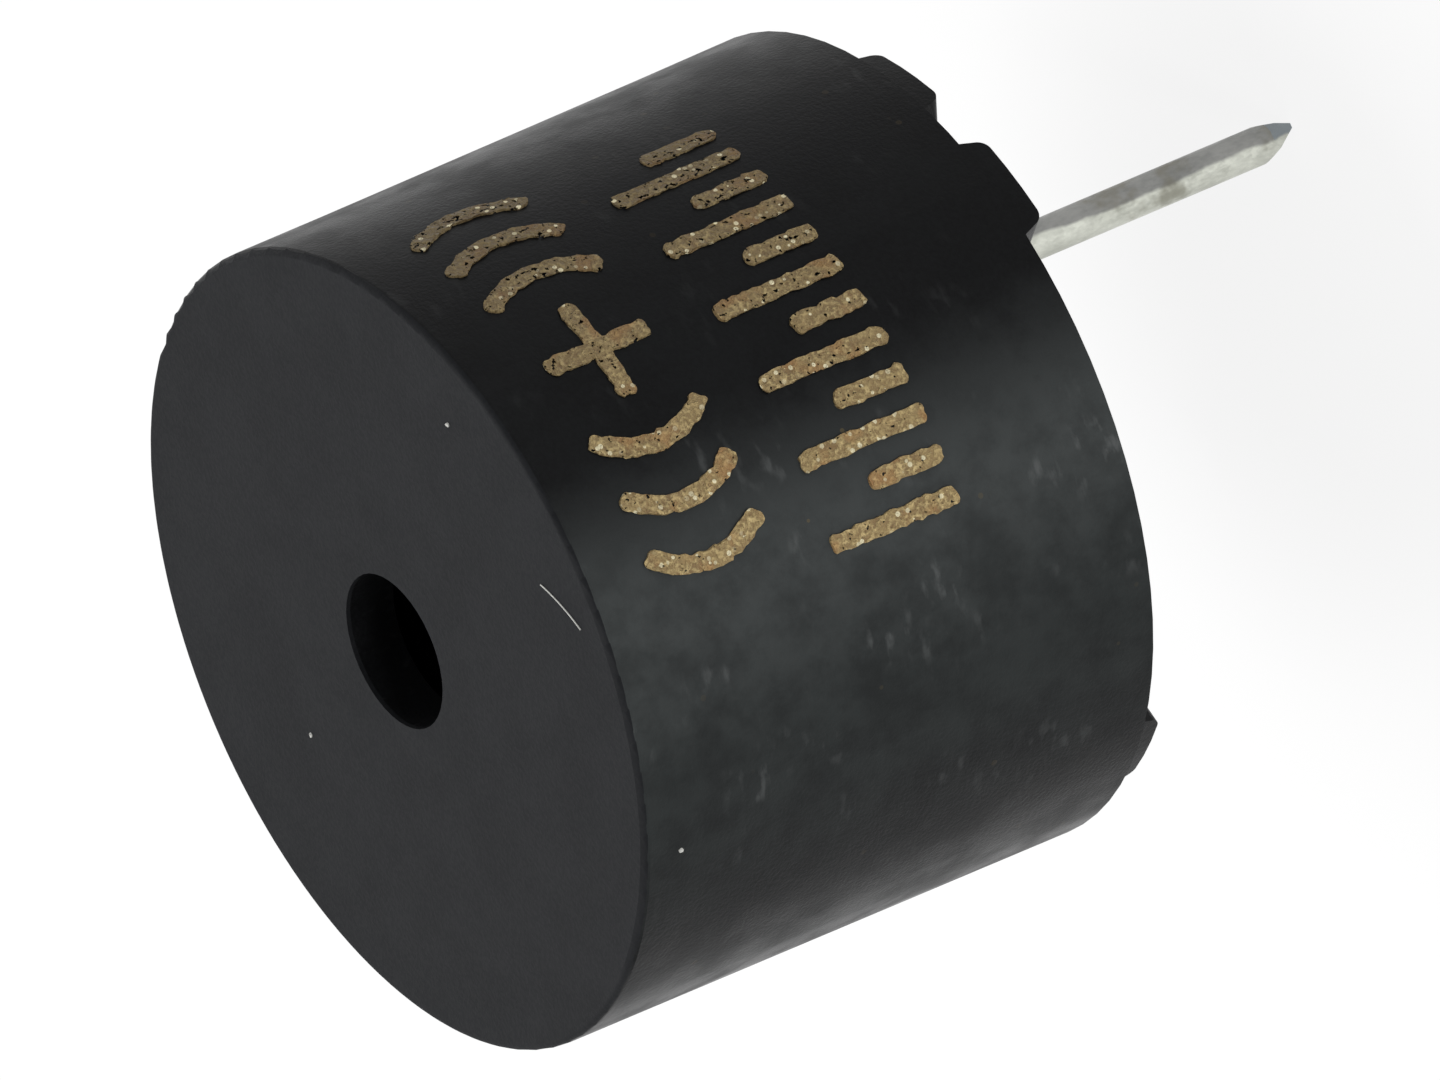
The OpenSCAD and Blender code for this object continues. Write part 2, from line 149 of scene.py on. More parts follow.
def splitPlace(tree, place, x=0, y=0):
    node = addNode(tree, "ShaderNodeSeparateXYZ", x, y)
    feed(tree, node, "Vector", place)
    return node.outputs


# the angle round the Z axis, in radians
def turnNode(tree, parts, x=0, y=0):
    return mathNode(tree, "ARCTAN2", parts["Y"], parts["X"], x, y)


# a group takes vectors and values, and puts out values
def newGroup(name, vectors, values, results):
    tree = bpy.data.node_groups.new(name, "ShaderNodeTree")
    for way, kind, labels in (("INPUT", "NodeSocketVector", vectors),
                              ("INPUT", "NodeSocketFloat", values),
                              ("OUTPUT", "NodeSocketFloat", results)):
        for label in labels:
            tree.interface.new_socket(label, in_out=way, socket_type=kind)
    return tree, addNode(tree, "NodeGroupInput", -900), addNode(tree, "NodeGroupOutput", 600)


def placeGroup(tree, group, x, y, **inputs):
    node = addNode(tree, "ShaderNodeGroup", x, y, node_tree=group)
    for name, source in inputs.items():
        feed(tree, node, name.replace("_", " "), source)
    return node


grainSteps = {
    "coarseDetail": 4,
    "fineDetail": 3,
    "roughness": 0.6,
    "coarseStep": (0.35, 0.65),
    "fineStep": (0.32, 0.68),
}


# two sizes of mottle, and a height for the bump
def makeGrainGroup(look):
    tree, start, end = newGroup(
        "surfaceGrain", ("Vector",), ("Coarse Scale", "Fine Scale", "Fine Share"),
        ("Tone", "Grain", "Height"))
    place = start.outputs["Vector"]
    coarse = noiseNode(tree, place, start.outputs["Coarse Scale"], look["coarseDetail"],
                       look["roughness"], -600, 200)
    fine = noiseNode(tree, place, start.outputs["Fine Scale"], look["fineDetail"],
                     look["roughness"], -600, -100)
    tone = stepNode(tree, coarse, *look["coarseStep"], -350, 200)
    grain = stepNode(tree, fine, *look["fineStep"], -350, -100)
    feed(tree, end, "Tone", tone)
    feed(tree, end, "Grain", grain)
    feed(tree, end, "Height", blendValues(tree, start.outputs["Fine Share"], tone, grain))
    return tree


# a few small spots: one cell in several holds one, each with its own strength
def makeDustGroup():
    tree, start, end = newGroup("dustSpecks", ("Vector",), ("Cell Scale", "Spot Size", "Share"), ("Mask",))
    cells = addNode(tree, "ShaderNodeTexVoronoi", -650, 100)
    feed(tree, cells, "Vector", start.outputs["Vector"])
    feed(tree, cells, "Scale", start.outputs["Cell Scale"])
    chance = addNode(tree, "ShaderNodeSeparateColor", -450, -100)
    feed(tree, chance, "Color", cells.outputs["Color"])
    inner = mathNode(tree, "LESS_THAN", cells.outputs["Distance"], start.outputs["Spot Size"], -400, 150)
    chosen = mathNode(tree, "LESS_THAN", chance.outputs["Red"], start.outputs["Share"], -250, -100)
    spots = mathNode(tree, "MULTIPLY", inner, chosen, 0, 0)
    feed(tree, end, "Mask", mathNode(tree, "MULTIPLY", spots, chance.outputs["Green"], 200, 0))
    return tree


scuffSteps = {
    "strokeDetail": 5,
    "strokeStep": (0.52, 0.72),
    "patchStep": (0.5, 0.68),
}


# faint rubbed strokes that run one way, in patches
def makeScuffGroup(look):
    tree, start, end = newGroup("rubbedStrokes", ("Vector", "Stretch"), ("Scale", "Patch Scale"), ("Mask",))
    place = start.outputs["Vector"]
    stretched = stretchPlace(tree, place, start.outputs["Stretch"], -700, 150)
    strokes = noiseNode(tree, stretched, start.outputs["Scale"], look["strokeDetail"], x=-500, y=150)
    patches = noiseNode(tree, place, start.outputs["Patch Scale"], x=-500, y=-100)
    strokeMask = stepNode(tree, strokes, *look["strokeStep"], -250, 150)
    patchMask = stepNode(tree, patches, *look["patchStep"], -250, -100)
    feed(tree, end, "Mask", mathNode(tree, "MULTIPLY", strokeMask, patchMask))
    return tree


grainGroup = makeGrainGroup(grainSteps)
dustGroup = makeDustGroup()
scuffGroup = makeScuffGroup(scuffSteps)


def startMaterial(name):
    material = bpy.data.materials.new(name)
    material.use_nodes = True
    tree = material.node_tree
    shader = tree.nodes["Principled BSDF"]
    shader.location = (600, 0)
    tree.nodes["Material Output"].location = (900, 0)
    place = addNode(tree, "ShaderNodeTexCoord", -1200, 0).outputs["Object"]
    return material, tree, shader, place


def addBump(tree, shader, height, strength, distance):
    bump = addNode(tree, "ShaderNodeBump", 350, -300)
    feed(tree, bump, "Strength", strength)
    feed(tree, bump, "Distance", distance)
    feed(tree, bump, "Height", height)
    feed(tree, shader, "Normal", bump.outputs["Normal"])


housingLook = {
    "faceDark": (20, 21, 23),
    "faceLight": (28, 29, 31),
    "faceRoughness": (0.55, 0.68),
    "faceFrom": housingHigh[2] - 0.07 * mm,      # the face lies above this level
    "wallDark": (12, 12, 13),
    "wallLight": (18, 19, 20),
    "wallRoughness": (0.3, 0.42),
    "specular": 0.07,
    "grain": {"Coarse_Scale": 900.0, "Fine_Scale": 16000.0, "Fine_Share": 0.7},
    "mottleShares": (0.45, 0.55),                # of the coarse and the fine grain
    "bumpStrength": 0.5,
    "bump": 0.006 * mm,
    # painted highlight, partly rubbed plastic: a lighter stretch round the wall
    "rubAndHighlightTone": (61, 64, 64),
    "rubAndHighlightFrom": (-62, -34),                    # degrees round the wall
    "rubAndHighlightTo": (-34, -12),
    # painted sheen: a lighter stretch round the wall
    "paintedSheenTone": (40, 43, 43),
    "paintedSheenFrom": (-92, -60),
    "paintedSheenTo": (-54, -22),
    "wander": 0.13,                              # how far the ends of a stretch stray, in radians
    "cloudScale": 1250.0,
    "cloudDetail": 5.0,
    "cloudRoughness": 0.65,
    "patchyStep": (0.3, 0.66),
    "patchyShare": (0.6, 1.0),
    "scuffTone": (92, 94, 94),
    "scuffs": {"Stretch": (0.45, 1.0, 1.0), "Scale": 4600.0, "Patch_Scale": 650.0},
    "scuffShare": (0.1, 0.35),                   # from the plain wall to the painted sheen
    "scuffMore": 0.5,                            # what the stretch of rubbed plastic and painted highlight adds
    "dustTone": (150, 150, 148),
    "dust": {"Cell_Scale": 1100.0, "Spot_Size": 0.035, "Share": 0.12},
    "goldTone": (96, 84, 58),
    "goldCrumbs": {"Cell_Scale": 2600.0, "Spot_Size": 0.13, "Share": 0.1},
    "goldShare": (0.15, 0.9),                    # from the plain wall to the stretch of rubbed plastic and painted highlight
}


# the painted sheen and the stretch of rubbed plastic and painted highlight round the wall, and how much of
# the tone shows in their patches
def sheenAndHighlightStretches(tree, place, turn, look):
    clouds = noiseNode(tree, place, look["cloudScale"], look["cloudDetail"], look["cloudRoughness"],
                       -1500, -900)
    stray = rangeNode(tree, clouds, -look["wander"], look["wander"], -1300, -900)
    strayed = mathNode(tree, "ADD", turn, stray, -1100, -800)
    paintedSheen = stretchNode(tree, strayed, look["paintedSheenFrom"], look["paintedSheenTo"], -900, -800)
    rubAndHighlight = stretchNode(tree, strayed, look["rubAndHighlightFrom"], look["rubAndHighlightTo"], -900, -1200)
    patchy = stepNode(tree, clouds, *look["patchyStep"], -900, -1600)
    return paintedSheen, rubAndHighlight, rangeNode(tree, patchy, *look["patchyShare"], -700, -1600)


# strokes that run round the wall, drawn on it as if it were unrolled, stronger on the painted sheen and the
# painted highlight
def wallScuffs(tree, turn, level, paintedSheen, rubAndHighlight, look):
    unrolled = addNode(tree, "ShaderNodeCombineXYZ", -900, -1900)
    feed(tree, unrolled, "X", mathNode(tree, "MULTIPLY", turn, housingHigh[0], -1100, -1900))
    feed(tree, unrolled, "Z", level)
    scuffs = placeGroup(tree, scuffGroup, -700, -1900, Vector=unrolled.outputs[0], **look["scuffs"])
    onPaintedSheen = rangeNode(tree, paintedSheen, *look["scuffShare"], -500, -1700)
    onRubAndHighlight = mathNode(tree, "MULTIPLY", rubAndHighlight, look["scuffMore"], -500, -1850)
    near = mathNode(tree, "ADD", onPaintedSheen, onRubAndHighlight, -300, -1800)
    return mathNode(tree, "MULTIPLY", scuffs.outputs["Mask"], near, -150, -1900)


# the wall has a painted sheen, and a stretch that is partly rubbed plastic and partly painted highlight, with
# scuffs and a few crumbs of the gold ink, more of both on these stretches
def wallTone(tree, place, parts, look, mottle):
    turn = turnNode(tree, parts, -1500, -700)
    paintedSheen, rubAndHighlight, share = sheenAndHighlightStretches(tree, place, turn, look)
    plain = mixColour(tree, mottle, look["wallDark"], look["wallLight"], -250, 0)
    paintedSheenAmount = mathNode(tree, "MULTIPLY", paintedSheen, share, -450, -800)
    withPaintedSheen = mixColour(tree, paintedSheenAmount, plain, look["paintedSheenTone"], -150, -600)
    rubAndHighlightAmount = mathNode(tree, "MULTIPLY", rubAndHighlight, share, -450, -1200)
    wearAndPaintedLight = mixColour(tree, rubAndHighlightAmount, withPaintedSheen, look["rubAndHighlightTone"], 0, -700)
    scuffs = wallScuffs(tree, turn, parts["Z"], paintedSheen, rubAndHighlight, look)
    scuffed = mixColour(tree, scuffs, wearAndPaintedLight, look["scuffTone"], 100, -900)
    crumbs = placeGroup(tree, dustGroup, -700, -2200, Vector=place, **look["goldCrumbs"])
    near = rangeNode(tree, rubAndHighlight, *look["goldShare"], -500, -2200)
    golden = mathNode(tree, "MULTIPLY", crumbs.outputs["Mask"], near, -300, -2200)
    return mixColour(tree, golden, scuffed, look["goldTone"], 200, -1000)


def housingPlastic(look):
    material, tree, shader, place = startMaterial("housingPlastic")
    parts = splitPlace(tree, place, -1000, 300)
    onFace = mathNode(tree, "GREATER_THAN", parts["Z"], look["faceFrom"], -800, 300)
    grain = placeGroup(tree, grainGroup, -800, 0, Vector=place, **look["grain"])
    coarseShare, fineShare = look["mottleShares"]
    mottle = mathNode(tree, "ADD", mathNode(tree, "MULTIPLY", grain.outputs["Tone"], coarseShare, -600, 100),
                      mathNode(tree, "MULTIPLY", grain.outputs["Grain"], fineShare, -600, -50), -450, 50)
    face = mixColour(tree, mottle, look["faceDark"], look["faceLight"], -250, 200)
    plain = mixColour(tree, onFace, wallTone(tree, place, parts, look, mottle), face, 250, 150)
    dust = placeGroup(tree, dustGroup, -800, -350, Vector=place, **look["dust"])
    feed(tree, shader, "Base Color", mixColour(tree, dust.outputs["Mask"], plain, look["dustTone"], 400, 100))
    faceRough = rangeNode(tree, grain.outputs["Grain"], *look["faceRoughness"], -250, -200)
    wallRough = rangeNode(tree, grain.outputs["Tone"], *look["wallRoughness"], -250, -400)
    feed(tree, shader, "Roughness", blendValues(tree, onFace, wallRough, faceRough, 0, -250))
    feed(tree, shader, "Specular IOR Level", look["specular"])
    addBump(tree, shader, grain.outputs["Height"], look["bumpStrength"], look["bump"])
    return material


finishes = {
    "resin": {
        "dark": (14, 14, 15), "light": (24, 24, 25), "roughness": (0.16, 0.3), "metallic": 0.0,
        "coarse": 500.0, "fine": 3000.0, "fineShare": 0.2, "bump": 0.01 * mm, "specular": 0.4},
    "solder": {
        "dark": (160, 162, 165), "light": (205, 206, 208), "roughness": (0.22, 0.4), "metallic": 1.0,
        "coarse": 3000.0, "fine": 12000.0, "fineShare": 0.3, "bump": 0.01 * mm, "specular": 0.5},
    "boardLaminate": {
        "dark": (24, 78, 42), "light": (38, 104, 58), "roughness": (0.35, 0.5), "metallic": 0.0,
        "coarse": 1500.0, "fine": 9000.0, "fineShare": 0.5, "bump": 0.01 * mm, "specular": 0.5},
    "packagePlastic": {
        "dark": (26, 26, 27), "light": (40, 40, 41), "roughness": (0.55, 0.7), "metallic": 0.0,
        "coarse": 4000.0, "fine": 20000.0, "fineShare": 0.6, "bump": 0.006 * mm, "specular": 0.4},
    "tinnedLeg": {
        "dark": (175, 175, 172), "light": (212, 212, 208), "roughness": (0.25, 0.4), "metallic": 1.0,
        "coarse": 6000.0, "fine": 22000.0, "fineShare": 0.4, "bump": 0.004 * mm, "specular": 0.5},
    "resistorCeramic": {
        "dark": (34, 34, 38), "light": (52, 52, 57), "roughness": (0.3, 0.45), "metallic": 0.0,
        "coarse": 5000.0, "fine": 20000.0, "fineShare": 0.5, "bump": 0.004 * mm, "specular": 0.5},
    "enamelledCopper": {
        "dark": (140, 62, 28), "light": (190, 98, 48), "roughness": (0.2, 0.34), "metallic": 0.85,
        "coarse": 2500.0, "fine": 14000.0, "fineShare": 0.3, "bump": 0.004 * mm, "specular": 0.5},
    "softIron": {
        "dark": (128, 128, 126), "light": (168, 168, 165), "roughness": (0.34, 0.5), "metallic": 1.0,
        "coarse": 1800.0, "fine": 12000.0, "fineShare": 0.5, "bump": 0.006 * mm, "specular": 0.5},
    "ferrite": {
        "dark": (44, 44, 46), "light": (66, 66, 69), "roughness": (0.5, 0.66), "metallic": 0.0,
        "coarse": 3500.0, "fine": 18000.0, "fineShare": 0.6, "bump": 0.01 * mm, "specular": 0.5},
    "bobbinPlastic": {
        "dark": (206, 200, 182), "light": (226, 221, 205), "roughness": (0.4, 0.55), "metallic": 0.0,
        "coarse": 2000.0, "fine": 12000.0, "fineShare": 0.5, "bump": 0.006 * mm, "specular": 0.5},
    "ringPlastic": {
        "dark": (196, 190, 170), "light": (218, 212, 194), "roughness": (0.42, 0.56), "metallic": 0.0,
        "coarse": 1600.0, "fine": 11000.0, "fineShare": 0.5, "bump": 0.008 * mm, "specular": 0.5},
    "springSteel": {
        "dark": (150, 150, 148), "light": (186, 186, 184), "roughness": (0.22, 0.36), "metallic": 1.0,
        "coarse": 1200.0, "fine": 9000.0, "fineShare": 0.6, "bump": 0.003 * mm, "specular": 0.5,
        "stretch": (1.0, 0.15, 1.0)},
}
finishBumpStrength = 0.6


def grainedFinish(name, look):
    material, tree, shader, place = startMaterial(name)
    stretched = stretchPlace(tree, place, look.get("stretch", (1.0, 1.0, 1.0)), -1000, 0)
    grain = placeGroup(tree, grainGroup, -750, 0, Vector=stretched, Coarse_Scale=look["coarse"],
                       Fine_Scale=look["fine"], Fine_Share=look["fineShare"])
    feed(tree, shader, "Base Color",
         mixColour(tree, grain.outputs["Height"], look["dark"], look["light"], 0, 100))
    feed(tree, shader, "Roughness", rangeNode(tree, grain.outputs["Grain"], *look["roughness"], 0, -150))
    feed(tree, shader, "Metallic", look["metallic"])
    feed(tree, shader, "Specular IOR Level", look["specular"])
    addBump(tree, shader, grain.outputs["Height"], finishBumpStrength, look["bump"])
    return material


pinLook = {
    # one tin in two tones: the lit side, and the side of painted shade
    "litSideDark": (176, 178, 168),
    "litSideLight": (214, 216, 206),
    "shadeSideDark": (122, 123, 121),
    "shadeSideLight": (152, 152, 149),
    "pinShadeSide": 63,              # direction of the painted shade side, in degrees, seen from the pin's own axis
    "pinShadeEdge": 0.02 * mm,       # where the painted shade starts, from the axis
    "edgeBlur": 0.03 * mm,
    "wander": 0.16 * mm,
    "waveScale": 900.0,
    "waveDetail": 4.0,
    "grain": {"Coarse_Scale": 2200.0, "Fine_Scale": 15000.0, "Fine_Share": 0.35},
    "grainStretch": (1.0, 1.0, 0.5),
    "smudgeTone": (112, 108, 92),
    "smudgeStep": (0.6, 0.68),
    "smudgeShare": 0.55,
    "tipTone": (128, 136, 141),
    "tipLength": 0.45 * mm,
    "tipShare": 0.8,
    "roughness": (0.3, 0.5),
    "bump": 0.012 * mm,
}


# 1 on the painted shade side of either pin, which ends in a wavy line
def pinShadeSide(tree, parts, waves, look):
    low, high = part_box("positive_pin")
    across = mathNode(tree, "SUBTRACT", mathNode(tree, "ABSOLUTE", parts["X"], None, -850, 250),
                      (low[0] + high[0]) / 2, -700, 250)
    turn = math.radians(look["pinShadeSide"])
    towards = mathNode(tree, "ADD", mathNode(tree, "MULTIPLY", across, math.cos(turn), -550, 250),
                       mathNode(tree, "MULTIPLY", parts["Y"], math.sin(turn), -550, 100), -400, 200)
    stray = rangeNode(tree, waves, -look["wander"], look["wander"], -550, -50)
    return stepNode(tree, mathNode(tree, "ADD", towards, stray, -250, 150),
                    look["pinShadeEdge"] - look["edgeBlur"], look["pinShadeEdge"] + look["edgeBlur"], -100, 150)


# tinned wire: a side with painted shade, darker than the lit side, with smudges and a darker tip on the long
# pin
def tinnedWire(look):
    material, tree, shader, place = startMaterial("tinnedWire")
    parts = splitPlace(tree, place, -1000, 200)
    waves = noiseNode(tree, place, look["waveScale"], look["waveDetail"], x=-850, y=-50)
    pinShade = pinShadeSide(tree, parts, waves, look)
    grain = placeGroup(tree, grainGroup, -800, -300, **look["grain"],
                       Vector=stretchPlace(tree, place, look["grainStretch"], -1000, -300))
    bright = mixColour(tree, grain.outputs["Height"], look["litSideDark"], look["litSideLight"], -300, -150)
    dark = mixColour(tree, grain.outputs["Height"], look["shadeSideDark"], look["shadeSideLight"], -300, -350)
    sides = mixColour(tree, pinShade, bright, dark, 0, 0)
    smudge = mathNode(tree, "MULTIPLY", stepNode(tree, waves, *look["smudgeStep"], -100, -500),
                      look["smudgeShare"], 50, -500)
    smudged = mixColour(tree, smudge, sides, look["smudgeTone"], 150, 0)
    aboveTip = mathNode(tree, "SUBTRACT", parts["Z"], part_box("positive_pin")[0][2], -700, -650)
    tip = mathNode(tree, "LESS_THAN", aboveTip, look["tipLength"], -500, -650)
    # the darker tip tone goes only on the painted shade side
    pinShadeTip = mathNode(tree, "MULTIPLY", tip, pinShade, 0, -650)
    tipAmount = mathNode(tree, "MULTIPLY", pinShadeTip, look["tipShare"], 150, -650)
    feed(tree, shader, "Base Color", mixColour(tree, tipAmount, smudged, look["tipTone"], 350, 0))
    feed(tree, shader, "Roughness", rangeNode(tree, grain.outputs["Grain"], *look["roughness"], 0, -250))
    feed(tree, shader, "Metallic", 1.0)
    addBump(tree, shader, grain.outputs["Height"], finishBumpStrength, look["bump"])
    return material


materials = {name: grainedFinish(name, look) for name, look in finishes.items()}
materials["tinnedWire"] = tinnedWire(pinLook)
materials["housingPlastic"] = housingPlastic(housingLook)

wears = {
    "housing": "housingPlastic", "sealing_resin": "resin", "positive_pin": "tinnedWire",
    "negative_pin": "tinnedWire", "pin_solder": "solder", "circuit_board": "boardLaminate",
    "transistor_body": "packagePlastic", "transistor_legs": "tinnedLeg",
    "diode_body": "packagePlastic", "diode_legs": "tinnedLeg",
    "resistor_body": "resistorCeramic", "resistor_caps": "tinnedLeg",
    "coil_leads": "enamelledCopper", "lead_solder": "solder", "yoke_plate": "softIron",
    "ring_magnet": "ferrite", "pole_core": "softIron", "coil_bobbin": "bobbinPlastic",
    "coil_winding": "enamelledCopper", "support_ring": "ringPlastic",
    "diaphragm": "springSteel", "diaphragm_weight": "softIron",
}
for nodeName, finish in wears.items():
    for slot in nodes[nodeName].material_slots:
        slot.material = materials[finish]
print("finishes made:", len(materials))


# new pieces are drawn in millimetres, and finishPiece makes them metres
marking = {
    "rim": 0.5,                  # level of the housing's rim
    "rimRadius": housingHigh[0] / mm,
    "draft": 0.55,               # degrees
    "stroke": 0.28,
    "proud": 0.03,
    "sunk": 0.03,
    "endRounding": 0.09,
    "endSegments": 4,
    "sharpAngle": 1,             # radians; a sharper corner of a stroke is rounded
    "upperRow": (6.1, 8.15),
    "lowerRow": (3.2, 5.3),
    "plusWidth": 1.7,
    "arcRadius": 1.5,
    "arcApexes": (1.75, 2.65, 3.55),
    "arcSteps": 12,
    "scaleFrom": -4.05,
    "scaleTo": 2.95,
    "scaleSteps": 11,
    "shortTick": 1.2,
    "ragged": 0.045,
    "raggedScale": 0.12,
    "raggedShift": (7, 3, 5),    # keeps the two directions' noise apart
    "uneven": 0.5,               # how much the ink's thickness varies
    "unevenFiner": 2,            # times finer than the ragged edge
    "meshStep": 0.09,
    "cutReach": 1e-6,            # a point this near to a cut lies on it
}


def wallRadius(level, look):
    return look["rimRadius"] - (level - look["rim"]) * math.tan(math.radians(look["draft"]))


# a straight stroke, drawn flat: X along the wall, Y outwards, Z up
def addStroke(bm, low, high, look):
    size = Vector((high[0] - low[0], look["proud"] + look["sunk"], high[1] - low[1]))
    middle = Vector(((high[0] + low[0]) / 2, (look["proud"] - look["sunk"]) / 2, (high[1] + low[1]) / 2))
    bmesh.ops.create_cube(bm, size=1, matrix=Matrix.Translation(middle) @ Matrix.Diagonal((*size, 1)))


# two crossing strokes as one solid: a small block whose four sides are pulled out
def addPlus(bm, centre, look):
    half = look["stroke"] / 2
    addStroke(bm, (-half, centre - half), (half, centre + half), look)
    for face in [face for face in bm.faces if abs(face.normal.y) < 0.5]:
        normal = face.normal.copy()
        pulled = bmesh.ops.extrude_discrete_faces(bm, faces=[face])["faces"][0]
        bmesh.ops.translate(bm, verts=pulled.verts, vec=normal * (look["plusWidth"] / 2 - half))


# rounds the ends of all strokes drawn so far
def roundEnds(bm, look):
    bm.normal_update()
    corners = [edge for edge in bm.edges
               if abs(edge.verts[0].co.y - edge.verts[1].co.y) > look["sunk"] and edge.is_convex
               and edge.calc_face_angle(0) > look["sharpAngle"]]
    bmesh.ops.bevel(bm, geom=corners, offset=look["endRounding"], affect="EDGES",
                    segments=look["endSegments"], profile=0.5, material=-1)


# a bowed stroke: its section swept round the centre of its curve
def addArc(bm, apex, bottom, top, side, look):
    half = math.asin((top - bottom) / 2 / look["arcRadius"])
    centre = Vector((side * (apex - look["arcRadius"]), 0, (bottom + top) / 2))
    middle = (side * (apex - look["stroke"] / 2), (look["proud"] - look["sunk"]) / 2, centre.z)
    size = (look["stroke"], look["proud"] + look["sunk"], 1, 1)
    section = bmesh.ops.create_grid(bm, x_segments=1, y_segments=1, size=0.5,
                                    matrix=Matrix.Translation(middle) @ Matrix.Diagonal(size))
    face = section["verts"][0].link_faces[0]
    bmesh.ops.rotate(bm, verts=section["verts"], cent=centre, matrix=Matrix.Rotation(side * half, 3, "Y"))
    bmesh.ops.spin(bm, geom=[face, *face.edges, *face.verts], cent=centre, axis=(0, 1, 0),
                   angle=-side * 2 * half, steps=look["arcSteps"], use_merge=False, use_duplicate=False)


# cuts a flat drawing into small steps, so that it can bend and its edges can be ragged
def cutSteps(bm, look):
    xs = [v.co.x for v in bm.verts]
    zs = [v.co.z for v in bm.verts]
    for low, high, normal in ((min(xs), max(xs), (1, 0, 0)), (min(zs), max(zs), (0, 0, 1))):
        steps = int((high - low) / look["meshStep"])
        for step in range(1, steps):
            at = low + (high - low) * step / steps
            bmesh.ops.bisect_plane(bm, geom=[*bm.verts, *bm.edges, *bm.faces], dist=look["cutReach"],
                                   plane_co=Vector(normal) * at, plane_no=normal)


# makes the edges ragged and the ink uneven, and lays the drawing round the wall
def bendOnWall(bm, look):
    for v in bm.verts:
        place = v.co / look["raggedScale"]
        v.co.x += noise.noise(place) * look["ragged"]
        v.co.z += noise.noise(place + Vector(look["raggedShift"])) * look["ragged"]
        if v.co.y > 0:
            v.co.y *= 1 + look["uneven"] * noise.noise(place * look["unevenFiner"])
        angle = v.co.x / look["rimRadius"]
        radius = wallRadius(v.co.z, look) + v.co.y
        v.co = (radius * math.cos(angle), radius * math.sin(angle), v.co.z)


# shorter ones are dissolved
shortestEdge = 1e-4


def finishPiece(name, bm, material, smooth=False):
    bmesh.ops.dissolve_degenerate(bm, edges=bm.edges, dist=shortestEdge)
    bmesh.ops.recalc_face_normals(bm, faces=bm.faces)
    bmesh.ops.scale(bm, verts=bm.verts, vec=(mm, mm, mm))
    mesh = bpy.data.meshes.new(name)
    bm.to_mesh(mesh)
    bm.free()
    mesh.materials.append(material)
    for polygon in mesh.polygons:
        polygon.use_smooth = smooth
    piece = bpy.data.objects.new(name, mesh)
    scene.collection.objects.link(piece)
    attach(piece, "root")
    return piece


markLook = {
    "dark": (116, 92, 58),
    "light": (194, 172, 122),
    "middle": (158, 136, 92),
    "middleShare": 0.6,
    "grain": {"Coarse_Scale": 4200.0, "Fine_Scale": 15000.0, "Fine_Share": 0.6},
    "bumpStrength": 1.0,
    "bump": 0.05 * mm,
    "copper": (164, 118, 70),
    "copperScale": 2400.0,
    "copperStep": (0.5, 0.68),
    "copperShare": 0.5,
    "inkShadeTone": (66, 56, 38),
    "inkShadeFrom": (-35, 40),       # degrees round the wall, from no painted shade to the most
    "inkShadeShare": 0.7,
    "crumb": (222, 212, 176),
    "crumbs": {"Cell_Scale": 9000.0, "Spot_Size": 0.34, "Share": 0.3},
    "crumbGain": 1.4,
    "roughness": (0.4, 0.65),
    "specular": 0.3,
    "holeScale": 12000.0,
    "holeDetail": 3.0,
    "holes": 0.33,
    "holeBlur": 0.02,
    "inkShadeHoles": 0.07,           # more of them where the most shade is painted on the ink
}


def inkTone(tree, place, grain, inkShade, look):
    base = mixColour(tree, grain.outputs["Grain"], look["dark"], look["light"], -300, 150)
    middleAmount = mathNode(tree, "MULTIPLY", grain.outputs["Tone"], look["middleShare"], -500, -50)
    toned = mixColour(tree, middleAmount, base, look["middle"], -150, 100)
    rust = noiseNode(tree, place, look["copperScale"], x=-800, y=-250)
    coppery = mathNode(tree, "MULTIPLY", stepNode(tree, rust, *look["copperStep"], -600, -250),
                       look["copperShare"], -400, -250)
    warmed = mixColour(tree, coppery, toned, look["copper"], 0, 100)
    # painted shade: the ink is darker further round the wall, away from the painted highlight
    inkShadeAmount = mathNode(tree, "MULTIPLY", inkShade, look["inkShadeShare"], -600, -400)
    inkShadeTone = mixColour(tree, inkShadeAmount, warmed, look["inkShadeTone"], 150, 100)
    crumbs = placeGroup(tree, dustGroup, -800, -650, Vector=place, **look["crumbs"])
    sparkle = mathNode(tree, "MULTIPLY", crumbs.outputs["Mask"], look["crumbGain"], -500, -650, clamp=True)
    return mixColour(tree, sparkle, inkShadeTone, look["crumb"], 300, 100)


# 1 where there is ink, and 0 in its small holes
def inkCover(tree, place, inkShade, look):
    cover = noiseNode(tree, place, look["holeScale"], look["holeDetail"], x=-800, y=-900)
    # painted shade: more holes where the ink is shaded, so the dark wall shows through
    wearAndPaintedLight = mathNode(tree, "SUBTRACT", cover, mathNode(tree, "MULTIPLY", inkShade, look["inkShadeHoles"], -600, -800),
                    -500, -900)
    return stepNode(tree, wearAndPaintedLight, look["holes"] - look["holeBlur"], look["holes"] + look["holeBlur"],
                    -300, -900)


